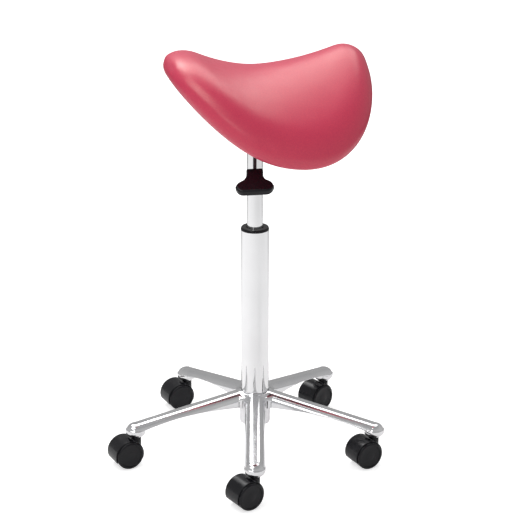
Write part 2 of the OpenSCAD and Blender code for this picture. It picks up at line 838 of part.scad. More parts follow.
module seat_foam() {
  high = top_pad - cover_t - pad_gap;
  low = -(under_pad - cover_t - pan_t - 2 * pad_gap);
  path = function (t)
    concat(padding_path(t, cover_t + pad_gap, pan_edge(t) + 2 * foam_lip),
      [[pan_edge(t) + foam_lip, low], [flat_part(t), low]], reversed(flat_run(t, low)));
  color("khaki") saddle_solid(path, high, low);
}

module seat_cover() {
  path = function (t)
    let (edge = flat_part(t) * wrap_share,
         skin = padding_path(t, 0, 0),
         lining = padding_path(t, cover_t, 0))
    concat(skin, [[edge, -under_pad], [edge, -under_pad + cover_t]], reversed(lining));
  color("crimson") saddle_solid(path, top_pad, top_pad - cover_t);
}

// Thin cloth that closes the underside round the plate
module dust_cover() {
  high = -(under_pad + dust_gap);
  low = high - dust_t;
  shares = [for (i = [1 : dust_steps]) dust_share * i / dust_steps];
  path = function (t)
    concat([for (s = shares) [flat_part(t) * s, high]],
           [for (s = reversed(shares)) [flat_part(t) * s, low]]);
  color("dimgray") difference() {
    saddle_solid(path, high, low);
    translate([-plate_l / 2 - dust_margin, -plate_w / 2 - dust_margin, plate_top_z - front_len])
      cube([plate_l + 2 * dust_margin, plate_w + 2 * dust_margin, 2 * front_len]);
  }
}

// ---------------------------------------------------------------- casters

module caster_hood(n) {
  color("black") at_caster(n) difference() {
    union() {
      translate([trail, hood_w / 2, wheel_r]) rotate([90, 0, 0]) cylinder(r = hood_r, h = hood_w);
      translate([0, 0, wheel_r + neck_bottom])
        cylinder(r = neck_r, h = neck_top_z - wheel_r - neck_bottom);
    }
    for (s = [-1, 1])
      translate([trail, s * (web_t / 2 + hood_w / 2), wheel_r]) rotate([90, 0, 0])
        translate([0, 0, -hood_w / 2]) cylinder(r = hood_r - hood_wall, h = hood_w);
    translate([trail - wheel_d, -wheel_d, hood_rim_z - wheel_d])
      cube([2 * wheel_d, 2 * wheel_d, wheel_d]);
    translate([0, 0, stem_pin_bottom_z - past]) cylinder(r = stem_pin_r + slip, h = stem_pin_h);
    translate([trail, wheel_span, wheel_r]) rotate([90, 0, 0])
      cylinder(r = axle_r, h = 2 * wheel_span);
  }
}

module caster_axle(n) {
  half = wheel_span / 2 - axle_end;
  color("silver") at_caster(n) translate([trail, half, wheel_r]) rotate([90, 0, 0])
    cylinder(r = axle_r, h = 2 * half);
}

// Half of a wheel's section: the tread with rounded corners, a rim ring and a sunk face
module wheel_section() {
  corner = 3;
  rim = 5;
  sink = 1.5;
  hub_wall = 4;
  hollow = 10;
  face = 3;
  difference() {
    union() {
      square([wheel_r - corner, wheel_w]);
      translate([0, corner]) square([wheel_r, wheel_w - 2 * corner]);
      for (y = [corner, wheel_w - corner]) translate([wheel_r - corner, y]) circle(r = corner);
    }
    translate([0, wheel_w - sink]) square([wheel_r - rim, sink + past]);
    translate([axle_r + hub_wall, -past])
      square([wheel_r - rim - axle_r - hub_wall, hollow]);
    translate([0, -past]) square([axle_r + slip, wheel_w - face]);
  }
}

module caster_wheel(n, side) {
  color("black") at_caster(n) translate([trail, side * (web_t / 2 + wheel_gap), wheel_r])
    rotate([-90 * side, 0, 0]) rotate_extrude() wheel_section();
}

base_star();
caster_stems();
grip_rings();
column_tube();
guide_bush();
lower_race();
bearing_cage();
bearing_balls();
upper_race();
rubber_buffer();
buffer_washer();
clip_washer();
retaining_clip();
piston_rod();
piston();
piston_seal();
piston_nut();
lift_cylinder();
rod_guide();
rod_seal();
valve_body();
release_pin();
cone_socket();
lever_housing();
pivot_bracket();
pivot_pin();
lever_rod();
lever_paddle();
seat_plate();
plate_bolts();
bolt_washers();
insert_nuts();
mounting_block();
seat_pan();
seat_foam();
seat_cover();
dust_cover();
caster_hood(1);  // caster_1_hood
caster_axle(1);  // caster_1_axle
caster_wheel(1, 1);  // caster_1_wheel_left
caster_wheel(1, -1);  // caster_1_wheel_right
caster_hood(2);  // caster_2_hood
caster_axle(2);  // caster_2_axle
caster_wheel(2, 1);  // caster_2_wheel_left
caster_wheel(2, -1);  // caster_2_wheel_right
caster_hood(3);  // caster_3_hood
caster_axle(3);  // caster_3_axle
caster_wheel(3, 1);  // caster_3_wheel_left
caster_wheel(3, -1);  // caster_3_wheel_right
caster_hood(4);  // caster_4_hood
caster_axle(4);  // caster_4_axle
caster_wheel(4, 1);  // caster_4_wheel_left
caster_wheel(4, -1);  // caster_4_wheel_right
caster_hood(5);  // caster_5_hood
caster_axle(5);  // caster_5_axle
caster_wheel(5, 1);  // caster_5_wheel_left
caster_wheel(5, -1);  // caster_5_wheel_right
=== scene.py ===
import json
import math
import bmesh
import bpy
import numpy as np
from mathutils import Matrix, Vector


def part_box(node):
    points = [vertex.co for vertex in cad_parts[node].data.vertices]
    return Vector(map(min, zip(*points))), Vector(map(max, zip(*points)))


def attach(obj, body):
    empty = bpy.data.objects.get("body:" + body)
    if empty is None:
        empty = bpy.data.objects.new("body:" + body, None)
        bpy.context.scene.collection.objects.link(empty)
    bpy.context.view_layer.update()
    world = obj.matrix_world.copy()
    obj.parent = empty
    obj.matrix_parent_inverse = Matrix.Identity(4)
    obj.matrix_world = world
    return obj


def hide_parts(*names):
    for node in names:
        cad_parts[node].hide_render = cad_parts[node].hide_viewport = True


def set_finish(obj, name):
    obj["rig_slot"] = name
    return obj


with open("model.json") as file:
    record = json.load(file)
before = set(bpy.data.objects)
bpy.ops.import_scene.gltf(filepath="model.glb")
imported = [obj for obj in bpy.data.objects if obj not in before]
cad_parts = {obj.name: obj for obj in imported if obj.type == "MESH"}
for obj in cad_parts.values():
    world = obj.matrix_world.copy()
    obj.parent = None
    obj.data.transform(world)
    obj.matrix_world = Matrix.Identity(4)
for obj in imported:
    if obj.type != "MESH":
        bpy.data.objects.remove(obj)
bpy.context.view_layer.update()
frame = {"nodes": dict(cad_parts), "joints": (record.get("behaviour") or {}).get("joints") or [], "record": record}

# Shapes are worked out in millimetres and stored in metres.
MM = 0.001
WELD = 0.01 * MM


# ------------------------------------------------------------------ meshes

def add_object(name, mesh):
    obj = bpy.data.objects.new(name, mesh)
    bpy.context.scene.collection.objects.link(obj)
    return obj


def mesh_object(name, points, faces):
    mesh = bpy.data.meshes.new(name)
    mesh.from_pydata([tuple(p) for p in points], [], faces)
    mesh.validate()
    shade_smooth(mesh)
    return add_object(name, mesh)


def shade_smooth(mesh):
    mesh.polygons.foreach_set("use_smooth", [True] * len(mesh.polygons))
    mesh.update()


def copy_of_node(name, node):
    """A new object with a CAD node's mesh, its split corners joined."""
    mesh = frame["nodes"][node].data.copy()
    bm = bmesh.new()
    bm.from_mesh(mesh)
    bmesh.ops.remove_doubles(bm, verts=bm.verts, dist=WELD)
    bm.to_mesh(mesh)
    bm.free()
    mesh.materials.clear()
    return add_object(name, mesh)


def apply_modifiers(obj):
    """Replaces an object's mesh by the result of its modifiers."""
    depsgraph = bpy.context.evaluated_depsgraph_get()
    mesh = bpy.data.meshes.new_from_object(obj.evaluated_get(depsgraph))
    obj.modifiers.clear()
    obj.data = mesh
    mesh.name = obj.name
    shade_smooth(mesh)


def voxel_remesh(obj, size):
    remesh = obj.modifiers.new("remesh", "REMESH")
    remesh.mode = "VOXEL"
    remesh.voxel_size = size
    remesh.adaptivity = 0
    apply_modifiers(obj)


def subdivide(obj, levels):
    surface = obj.modifiers.new("subdivision", "SUBSURF")
    surface.levels = levels
    surface.render_levels = levels
    apply_modifiers(obj)


def points_of(mesh):
    points = np.empty(len(mesh.vertices) * 3)
    mesh.vertices.foreach_get("co", points)
    return points.reshape(-1, 3)


def set_points(mesh, points):
    mesh.vertices.foreach_set("co", points.astype(np.float32).ravel())
    mesh.update()


def edge_pairs(mesh):
    pairs = np.empty(len(mesh.edges) * 2, int)
    mesh.edges.foreach_get("vertices", pairs)
    return pairs.reshape(-1, 2)


def neighbour_mean(values, pairs):
    """For each point, the mean of a value over the points joined to it."""
    total = np.zeros_like(values)
    count = np.zeros(len(values))
    for a, b in ((0, 1), (1, 0)):
        np.add.at(total, pairs[:, a], values[pairs[:, b]])
        np.add.at(count, pairs[:, a], 1)
    return total / count[:, None]


def relax(points, pairs, share, rounds):
    """Moves each point by a share of the way to the mean of its neighbours."""
    for _ in range(rounds):
        points = points + share * (neighbour_mean(points, pairs) - points)
    return points


def carve(obj, distance, voxel):
    """Remeshes an object evenly and settles every point on the surface distance = 0.
    distance(points) takes millimetres and is negative inside."""
    voxel_remesh(obj, voxel * MM)
    mesh = obj.data
    pairs = edge_pairs(mesh)
    points = points_of(mesh) / MM
    for _ in range(4):
        points = relax(points, pairs, 0.5, 2)
        points = settle(points, distance, 3)
    set_points(mesh, points * MM)
    normals = slope(points, distance, voxel / 4)
    length = np.maximum(np.linalg.norm(normals, axis=1), 1e-6)
    mesh.normals_split_custom_set_from_vertices(normals / length[:, None])
    return obj


def slope(points, distance, probe):
    """Gradient of a distance function, measured over a small probe each way."""
    gradient = np.empty_like(points)
    for axis in range(3):
        ahead = points.copy()
        behind = points.copy()
        ahead[:, axis] += probe
        behind[:, axis] -= probe
        gradient[:, axis] = (distance(ahead) - distance(behind)) / (2 * probe)
    return gradient


def settle(points, distance, rounds):
    """Moves points along the gradient of a distance function onto its zero surface."""
    probe = 0.02
    reach = 1.5
    least_size = 0.25
    for _ in range(rounds):
        here = distance(points)
        gradient = slope(points, distance, probe)
        size = np.maximum((gradient ** 2).sum(axis=1), least_size)
        step = np.clip(here / size, -reach, reach)
        points = points - step[:, None] * gradient
    return points


# ------------------------------------------------- rounded solids by distance

def cut(a, b, r):
    """The part inside both a and b, its edge rounded with radius r."""
    return (np.hypot(np.maximum(a + r, 0), np.maximum(b + r, 0))
            + np.minimum(np.maximum(a, b), -r))


def join(a, b, r):
    """The part inside a or b, its corner filled with radius r."""
    return (np.maximum(np.minimum(a, b), r)
            - np.hypot(np.maximum(r - a, 0), np.maximum(r - b, 0)))


def slab(value, low, high):
    return np.maximum(low - value, value - high)


def turned(points, angle):
    """Points seen in a frame that is turned by an angle about Z."""
    c = np.cos(angle)
    s = np.sin(angle)
    x = points[:, 0] * c + points[:, 1] * s
    y = -points[:, 0] * s + points[:, 1] * c
    return x, y


# -------------------------------------------------------------------- base

ARMS = 5
JOINTS = {j["name"]: j for j in frame["joints"]}
FIRST_TIP = Vector(JOINTS["caster_1_swivel"]["pos_m"]) / MM
TIP_CIRCLE = math.hypot(FIRST_TIP.x, FIRST_TIP.y)
FIRST_ARM = math.atan2(FIRST_TIP.y, FIRST_TIP.x)
COLUMN_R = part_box("column_tube")[1].x / MM

ARM_HALF = 18
ARM_ROUND = 14.5
ARM_WALL = 4.5
ROOT_Z = 114
TIP_Z = 76
SLOPE = (ROOT_Z - TIP_Z) / (TIP_CIRCLE - COLUMN_R)
RIM_ROUND = 1.2

RIM_Z = 87
RIM_DIP = 24
DIP_START = 90
DIP_POWER = 1.7

FOOT_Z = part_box("base_star")[0].z / MM + 2
FOOT_TOP_Z = 66
FOOT_HALF = ARM_HALF + 0.2
FOOT_ROUND = 10
FOOT_BLEND = 2

WEB_FILLET = 16
WEB_DROP = 5
WEB_BASE_Z = 86
WEB_BLEND = 3.5

HUB_WALL = 5
HUB_BASE_Z = 85
HUB_TOP_Z = ROOT_Z - 2
HUB_ROUND = 2
HUB_BLEND = 4
BOSS_WALL = 2.5
BOSS_BASE_Z = 50
BOSS_TOP_Z = 90
BOSS_BLEND = 2

POCKET_START = COLUMN_R + 17
POCKET_END = TIP_CIRCLE - ARM_HALF + 2
POCKET_ROUND = 3
SOCKET_Z = 62
SOCKET_R = 23.6
SOCKET_FLARE = 1.4 / 53
SOCKET_CLEARANCE = 0.05
SOCKET_LEAST_R = 22.5
SOCKET_MOST_R = 25
SOCKET_ROUND = 0.8
STEM_HOLE_R = 5.9
STEM_HOLE_TOP_Z = 71
STAR_VOXEL = 1.7


def arm_rim(x):
    """Height of an arm's lower edge, level near the hub and dipping towards the tip."""
    share = np.clip((x - DIP_START) / (TIP_CIRCLE - DIP_START), 0, 1.1)
    return RIM_Z - RIM_DIP * share ** DIP_POWER


def arm_frame(points):
    """Coordinates along and across the nearest arm."""
    step = 2 * math.pi / ARMS
    bearing = np.arctan2(points[:, 1], points[:, 0]) - FIRST_ARM
    nearest = np.round(bearing / step) * step
    x, y = turned(points, FIRST_ARM + nearest)
    return x, np.abs(y)


def arm_distance(x, z, across, from_tip, crest):
    """An arm with a round top, and the foot at its tip that holds the caster."""
    arm = cut(across - ARM_HALF, (z - crest) * math.cos(SLOPE), ARM_ROUND)
    arm = cut(arm, arm_rim(x) - z, RIM_ROUND)
    foot = cut(from_tip - FOOT_HALF, FOOT_Z - z, FOOT_ROUND)
    foot = np.maximum(foot, z - FOOT_TOP_Z)
    return join(arm, foot, FOOT_BLEND)


def web_distance(x, y, z, radius):
    """The web that fills the corner between two arms with a fillet."""
    half = math.pi / ARMS
    along = x * math.cos(half) + y * math.sin(half)
    aside = x * math.sin(half) - y * math.cos(half)
    centre = (ARM_HALF + WEB_FILLET) / math.sin(half)
    reach = (ARM_HALF + WEB_FILLET) / math.tan(half) * math.cos(half)
    web = np.maximum(WEB_FILLET - np.hypot(along - centre, aside), along - reach)
    web = cut(web, z - (ROOT_Z - WEB_DROP - SLOPE * (radius - COLUMN_R)), WEB_DROP)
    return cut(web, WEB_BASE_Z - z, RIM_ROUND)


def star_distance(points):
    """The five-arm base, hollow under its arms and bored for the column and the casters."""
    x, y = arm_frame(points)
    z = points[:, 2]
    radius = np.hypot(x, y)
    from_tip = np.hypot(x - TIP_CIRCLE, y)
    crest = ROOT_Z - SLOPE * (np.minimum(x, TIP_CIRCLE) - COLUMN_R)
    across = np.hypot(np.maximum(x - TIP_CIRCLE, 0), y)

    body = arm_distance(x, z, across, from_tip, crest)
    body = join(body, web_distance(x, y, z, radius), WEB_BLEND)
    hub = cut(slab(z, HUB_BASE_Z, HUB_TOP_Z), radius - COLUMN_R - HUB_WALL, HUB_ROUND)
    boss = cut(slab(z, BOSS_BASE_Z, BOSS_TOP_Z), radius - COLUMN_R - BOSS_WALL, BOSS_WALL)
    body = join(join(body, hub, HUB_BLEND), boss, BOSS_BLEND)

    inner = ARM_HALF - ARM_WALL
    pocket = cut(across - inner, z - crest + ARM_WALL, ARM_ROUND - ARM_WALL)
    pocket = cut(pocket, slab(x, POCKET_START, POCKET_END), POCKET_ROUND)
    body = cut(body, -pocket, RIM_ROUND)

    taper = np.clip(SOCKET_R + (z - SOCKET_Z) * SOCKET_FLARE, SOCKET_LEAST_R, SOCKET_MOST_R)
    body = cut(body, taper + SOCKET_CLEARANCE - radius, SOCKET_ROUND)
    stem = np.maximum(from_tip - STEM_HOLE_R, z - STEM_HOLE_TOP_Z)
    return np.maximum(body, -stem)


def star_base():
    base = carve(copy_of_node("star_base", "base_star"), star_distance, STAR_VOXEL)
    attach(base, "base")
    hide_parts("base_star")
    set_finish(base, "polished_aluminium")
    return base


# ----------------------------------------------------------------- casters

WHEEL_LOW, WHEEL_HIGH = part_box("caster_1_wheel_left")
WHEEL_R = (WHEEL_HIGH.z - WHEEL_LOW.z) / MM / 2
WHEEL_SPAN = 47
WHEEL_SEGMENTS = 72
AXLE_Z = JOINTS["caster_1_left_roll"]["pos_m"][2] / MM
AXLE_R = 3.1
HOOD_R = WHEEL_R + 2.2
HOOD_HALF = 20
HOOD_WALL = 1.6
HOOD_RIM_Z = 14.5
HOOD_WEB = 12
HOOD_ROUND = 1.2
HOOD_RIM_ROUND = 0.6
HOOD_VOXEL = 0.8
NECK_R = 9
NECK_TOP_Z = 50
NECK_BASE_Z = AXLE_Z + 4
NECK_BLEND = 2.5
STEM_R = 4.2
STEM_BASE_Z = 29
WHEEL_GAP = 1


def caster_frame(number):
    """A caster's swivel axis in millimetres, its trail and its heading."""
    stem = Vector(JOINTS[f"caster_{number}_swivel"]["pos_m"]) / MM
    wheel = Vector(JOINTS[f"caster_{number}_left_roll"]["pos_m"]) / MM
    heading = math.atan2(wheel.y - stem.y, wheel.x - stem.x)
    trail = math.hypot(wheel.x - stem.x, wheel.y - stem.y)
    return stem, trail, heading


def hood_distance(number):
    """The distance function of a caster's hood with its middle web and its neck."""
    stem, trail, heading = caster_frame(number)

    def distance(points):
        x, y = turned(points - np.array([stem.x, stem.y, 0]), heading)
        z = points[:, 2]
        y = np.abs(y)
        from_axle = np.hypot(x - trail, z - AXLE_Z)
        from_stem = np.hypot(x, y)
        outer = cut(from_axle - HOOD_R, y - HOOD_HALF, HOOD_ROUND)
        neck = cut(from_stem - NECK_R, z - NECK_TOP_Z, HOOD_ROUND)
        neck = cut(neck, NECK_BASE_Z - z, 0.5)
        body = join(outer, neck, NECK_BLEND)
        hollow = cut(from_axle - (HOOD_R - HOOD_WALL), HOOD_WEB / 2 - y, 1)
        body = cut(body, -hollow, 0.5)
        body = cut(body, HOOD_RIM_Z - z, HOOD_RIM_ROUND)
        bore = np.maximum(from_stem - STEM_R, STEM_BASE_Z - z)
        axle = from_axle - AXLE_R
        return np.maximum(np.maximum(body, -bore), -axle)

    return distance


def caster_hood(number):
    node = f"caster_{number}_hood"
    hood = carve(copy_of_node(f"caster_{number}_cowl", node), hood_distance(number), HOOD_VOXEL)
    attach(hood, f"caster_{number}")
    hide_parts(node)
    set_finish(hood, "black_plastic")
    return hood


def arc(centre, r, start, end, steps):
    """Points on an arc; the angles are in degrees."""
    angles = [math.radians(start + (end - start) * i / steps) for i in range(steps + 1)]
    return [(centre[0] + r * math.cos(a), centre[1] + r * math.sin(a)) for a in angles]


def wheel_profile(width):
    """Closed half-section of a wheel: [radius, distance from its inner face]."""
    tread = 3
    dish_r = WHEEL_R - 5
    dish = width - 1.5
    bore = AXLE_R
    bore_end = width - 3
    hub_r = 7
    well = 10.3
    points = arc((WHEEL_R - tread, width - tread), tread, 0, 90, 6)
    points += arc((dish_r + 0.6, width - 0.5), 0.5, 90, 180, 3)
    points += arc((dish_r - 0.8, dish + 0.8), 0.8, 0, -90, 3)
    points += arc((hub_r + 2, dish + 2), 2, 270, 250, 2)
    points += [(4, dish + 0.45), (0, dish + 0.55)]
    points += [(0, bore_end), (bore - 0.4, bore_end), (bore, bore_end - 0.4)]
    points += [(bore, 0.4), (bore + 0.4, 0), (hub_r - 0.4, 0), (hub_r, 0.4)]
    points += [(hub_r + 0.2, well - 0.8), (hub_r + 1, well), (dish_r - 0.8, well)]
    points += [(dish_r, well - 0.8), (dish_r + 0.2, 0.4), (dish_r + 0.6, 0)]
    points += arc((WHEEL_R - tread, tread), tread, -90, 0, 6)
    return points


def lathe(name, profile, segments, matrix):
    """A closed solid of revolution about its own Z, placed with a matrix."""
    points = []
    rows = []
    for r, z in profile:
        if r < 1e-6:
            rows.append([len(points)] * segments)
            points.append(matrix @ Vector((0, 0, z)))
            continue
        rows.append([len(points) + i for i in range(segments)])
        for i in range(segments):
            a = 2 * math.pi * i / segments
            points.append(matrix @ Vector((r * math.cos(a), r * math.sin(a), z)))
    faces = []
    for j in range(len(rows)):
        near = rows[j]
        far = rows[(j + 1) % len(rows)]
        for i in range(segments):
            k = (i + 1) % segments
            face = []
            for corner in (near[i], near[k], far[k], far[i]):
                if corner not in face:
                    face.append(corner)
            if len(face) > 2:
                faces.append(face)
    return mesh_object(name, [p * MM for p in points], faces)


def caster_wheel(number, side):
    node = f"caster_{number}_wheel_{side}"
    stem, trail, heading = caster_frame(number)
    sign = 1 if side == "left" else -1
    along = Vector((-math.sin(heading), math.cos(heading), 0)) * sign
    inner = HOOD_WEB / 2 + WHEEL_GAP
    profile = wheel_profile(WHEEL_SPAN / 2 - inner)
    centre = stem + trail * Vector((math.cos(heading), math.sin(heading), 0))
    centre.z = AXLE_Z
    place = (Matrix.Translation(centre + along * inner)
             @ along.to_track_quat("Z", "X").to_matrix().to_4x4())
    wheel = lathe(f"caster_{number}_roller_{side}", profile, WHEEL_SEGMENTS, place)
    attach(wheel, f"caster_{number}_{side}")
    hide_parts(node)
    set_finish(wheel, "black_plastic")
    return wheel


# ------------------------------------------------------------------ saddle

SEAT_Z = 675.5
SEAT_SHIFT = 17
SEAT_PITCH = math.radians(4)
FRONT_LEN = 176
REAR_LEN = 166
HALF_WIDTH = 195
FRONT_RISE = 35
REAR_RISE = 59
SIDE_DROP = 91
RISE_POWER = 1.9
DROP_POWER = 1.8
DROP_POWER_CHANGE = 0.6
DROP_CHANGE = 0.2
TOP_PAD = 34
UNDER_PAD = 30
COVER_T = 2
PAN_T = 9
PAD_GAP = 0.8
PAN_SHARE = 0.35
PAN_MARGIN = 0.012
FLAT_SHARE = 0.73
FLAT_CHANGE = 0.02
FLAT_FRONT = 0.1
HEM_SHARE = 0.86
FRONT_POWER = 2.35
REAR_POWER = 2.48
FRONT_FLARE = 0.108
CAP_CELLS = 40
ROLL_STEPS = 24
HEM_STEPS = 4
PAN_STEPS = 8
SKIN_INSET = 1.2
SKIN_PRESSURE = 12
SWELL_CAP = 2.4
CLOTH_FRAMES = 20


def seat_height(x, y):
    """Height of the saddle's middle surface, before it is tipped back."""
    u = x / (FRONT_LEN if x > 0 else REAR_LEN)
    rise = FRONT_RISE if u > 0 else REAR_RISE
    power = DROP_POWER - DROP_POWER_CHANGE * u
    drop = SIDE_DROP * (1 + DROP_CHANGE * u) * (abs(y) / HALF_WIDTH + 1e-6) ** power
    return rise * abs(u) ** RISE_POWER - drop


def seat_normal(x, y):
    d = 0.5
    slope_x = (seat_height(x + d, y) - seat_height(x - d, y)) / (2 * d)
    slope_y = (seat_height(x, y + d) - seat_height(x, y - d)) / (2 * d)
    return Vector((-slope_x, -slope_y, 1)).normalized()


def seat_outline(t):
    """The saddle's outline seen from above, wider in front and squarer at the rear."""
    c = math.cos(t)
    s = math.sin(t)
    power = 2 / (FRONT_POWER if c > 0 else REAR_POWER)
    c = math.copysign(abs(c) ** power, c)
    s = math.copysign(abs(s) ** power, s)
    length = FRONT_LEN if c > 0 else REAR_LEN
    return Vector((length * c, HALF_WIDTH * s * (1 + FRONT_FLARE * c)))


def flat_part(t):
    """Share of the outline that lies inside the rolled edge."""
    c = math.cos(t)
    return FLAT_SHARE - FLAT_CHANGE * c + FLAT_FRONT * max(c, 0) ** 6


def seat_point(t, share, height):
    """A point at a share of the outline and a height above the middle surface."""
    p = seat_outline(t) * share
    q = Vector((p.x, p.y, seat_height(p.x, p.y))) + height * seat_normal(p.x, p.y)
    c = math.cos(SEAT_PITCH)
    s = math.sin(SEAT_PITCH)
    return Vector((SEAT_SHIFT + q.x * c - q.z * s, q.y, SEAT_Z + q.x * s + q.z * c))


def skin_path(t, inset):
    """From the top's rim round the rolled edge to the hem under the seat."""
    flat = flat_part(t)
    reach = 1 - flat - inset / seat_outline(t).length
    path = []
    for i in range(1, ROLL_STEPS + 1):
        a = math.radians(180 / ROLL_STEPS * i)
        pad = TOP_PAD if a < math.pi / 2 else UNDER_PAD
        path.append((flat + reach * math.sin(a), (pad - inset) * math.cos(a)))
    for i in range(1, HEM_STEPS + 1):
        path.append((flat * (1 + (HEM_SHARE - 1) * i / HEM_STEPS), inset - UNDER_PAD))
    return path


def hidden_path(t):
    """From the hem round the pan's edge and over its top to the middle."""
    flat = flat_part(t)
    edge = flat + PAN_SHARE * (1 - flat) + PAN_MARGIN
    low = COVER_T - UNDER_PAD
    high = low + PAN_T + 2 * PAD_GAP
    path = [(flat * HEM_SHARE, low - 0.1), (flat * 0.93, low - 0.05), (flat, low)]
    path += [(edge, low + 4), (edge, high - 1), (edge - 0.01, high), (flat, high)]
    for i in range(1, PAN_STEPS):
        path.append((flat * (1 - i / PAN_STEPS), high))
    return path


def seat_cap(cells, height):
    """The top inside the rolled edge as a square grid bent into the outline."""
    points = []
    for j in range(cells + 1):
        for i in range(cells + 1):
            a = 2 * i / cells - 1
            b = 2 * j / cells - 1
            if abs(a) > abs(b):
                r = a
                t = math.pi / 4 * b / a
            elif b != 0:
                r = b
                t = math.pi / 2 - math.pi / 4 * a / b
            else:
                r = 0
                t = 0
            if r < 0:
                r = -r
                t += math.pi
            points.append(seat_point(t, r * flat_part(t), height))
    return points


def cap_rim(cells):
    """Indices round a square grid, anticlockwise from the corner at t = -45 degrees."""
    n = cells + 1
    right = [j * n + cells for j in range(cells)]
    top = [cells * n + cells - i for i in range(cells)]
    left = [(cells - j) * n for j in range(cells)]
    bottom = list(range(cells))
    return right + top + left + bottom


def cushion_mesh(name):
    """The padded seat: top, rolled edge, hem, and the hollow that holds the pan.
    Returns the object and how many of its points belong to the visible skin."""
    points = seat_cap(CAP_CELLS, TOP_PAD - SKIN_INSET)
    n = CAP_CELLS + 1
    faces = [(j * n + i, j * n + i + 1, j * n + n + i + 1, j * n + n + i)
             for j in range(CAP_CELLS) for i in range(CAP_CELLS)]
    ring = cap_rim(CAP_CELLS)
    count = len(ring)
    bearings = [2 * math.pi * (i / count - 0.125) for i in range(count)]
    paths = [skin_path(t, SKIN_INSET) + hidden_path(t) for t in bearings]
    skin_points = len(points) + count * len(skin_path(0, SKIN_INSET))
    for k in range(len(paths[0])):
        new_ring = []
        for t, path in zip(bearings, paths):
            new_ring.append(len(points))
            points.append(seat_point(t, *path[k]))
        for i in range(count):
            j = (i + 1) % count
            faces.append((ring[i], new_ring[i], new_ring[j], ring[j]))
        ring = new_ring
    middle = len(points)
    points.append(seat_point(0, 0, COVER_T - UNDER_PAD + PAN_T + 2 * PAD_GAP))
    for i in range(count):
        faces.append((ring[i], middle, ring[(i + 1) % count]))
    return mesh_object(name, [p * MM for p in points], faces), skin_points


def inflate(obj, pressure, cap, held):
    """Swells a closed mesh as cloth under pressure. Points move outwards by cap at the
    most, and the points whose numbers are in held stay where they are."""
    start = points_of(obj.data)
    normals = np.array([v.normal for v in obj.data.vertices])
    group = obj.vertex_groups.new(name="held")
    group.add(held, 1.0, "REPLACE")
    cloth = obj.modifiers.new("cloth", "CLOTH")
    settings = cloth.settings
    settings.quality = 8
    settings.mass = 0.3
    settings.tension_stiffness = 40
    settings.compression_stiffness = 40
    settings.shear_stiffness = 20
    settings.bending_stiffness = 5
    settings.use_pressure = True
    settings.uniform_pressure_force = pressure
    settings.vertex_group_mass = "held"
    settings.effector_weights.gravity = 0
    cloth.collision_settings.use_self_collision = False
    scene = bpy.context.scene
    scene.frame_start = 1
    scene.frame_end = CLOTH_FRAMES
    cloth.point_cache.frame_start = 1
    cloth.point_cache.frame_end = CLOTH_FRAMES
    for number in range(1, CLOTH_FRAMES + 1):
        scene.frame_set(number)
    apply_modifiers(obj)
    scene.frame_set(1)
    obj.vertex_groups.clear()
    moved = points_of(obj.data) - start
    swell = np.clip((moved * normals).sum(axis=1), 0, cap)
    set_points(obj.data, start + normals * swell[:, None])


def smooth_skin(obj, skin_points, rounds):
    """Evens out the visible skin, whose points come first in the mesh."""
    mesh = obj.data
    points = points_of(mesh)
    pairs = edge_pairs(mesh)
    free = np.zeros(len(points))
    free[:skin_points] = 0.5
    set_points(mesh, relax(points, pairs, free[:, None], rounds))


def saddle():
    cushion, skin_points = cushion_mesh("saddle")
    count = len(cushion.data.vertices)
    inflate(cushion, SKIN_PRESSURE, SWELL_CAP * MM, list(range(skin_points, count)))
    smooth_skin(cushion, skin_points, 2)
    subdivide(cushion, 1)
    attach(cushion, "seat")
    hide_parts("seat_cover", "seat_foam")
    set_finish(cushion, "red_vinyl")
    return cushion


# ------------------------------------------------------------------ paddle

LEVER_ANGLE = math.radians(-102)
LEVER_SLOPE = math.radians(30.5)
LEVER_ELBOW = 25
PADDLE_START = (120 - LEVER_ELBOW) / math.cos(LEVER_SLOPE)
PADDLE_LEN = 52
PADDLE_HALF = 31
PADDLE_T = 13
PADDLE_ROLL = math.radians(4)


NECK_HALF = 14
NECK_LEN = 19
LOBE_R = 12.5
LOBE_X = PADDLE_LEN - LOBE_R
LOBE_Y = PADDLE_HALF - LOBE_R
ROD_HOLE_R = 3.1
ROD_HOLE_LEN = 40
NECK_ROUND = 3
FLARE_BLEND = 4
LOBE_BLEND = 3
PADDLE_ROUND = 4
PADDLE_VOXEL = 0.9


def paddle_plan(along, across):
    """The knob seen from above: a straight neck that flares into two round lobes."""
    neck = cut(across - NECK_HALF, slab(along, 0, 2 * NECK_LEN), NECK_ROUND)
    lobes = np.hypot(along - LOBE_X, np.maximum(across - LOBE_Y, 0)) - LOBE_R
    flare_dir = Vector((PADDLE_HALF - NECK_HALF, LOBE_X - NECK_LEN)).normalized()
    flare = (across - NECK_HALF) * flare_dir.y - (along - NECK_LEN) * flare_dir.x
    flare = cut(flare, along - LOBE_X, 0.5)
    plan = join(neck, np.maximum(flare, across - PADDLE_HALF), FLARE_BLEND)
    return join(plan, lobes, LOBE_BLEND)


def paddle_distance(points):
    """The flat knob with rounded edges, bored for the lever's rod."""
    x, y = turned(points, LEVER_ANGLE)
    x = x - LEVER_ELBOW
    z = points[:, 2] - JOINTS["lever_tilt"]["pos_m"][2] / MM
    along = x * math.cos(LEVER_SLOPE) - z * math.sin(LEVER_SLOPE) - PADDLE_START
    up = x * math.sin(LEVER_SLOPE) + z * math.cos(LEVER_SLOPE)
    across = np.abs(y * math.cos(PADDLE_ROLL) + up * math.sin(PADDLE_ROLL))
    lift = up * math.cos(PADDLE_ROLL) - y * math.sin(PADDLE_ROLL)
    body = cut(paddle_plan(along, across), np.abs(lift) - PADDLE_T / 2, PADDLE_ROUND)
    bore = np.maximum(np.hypot(y, up) - ROD_HOLE_R, along - ROD_HOLE_LEN)
    return np.maximum(body, -bore)


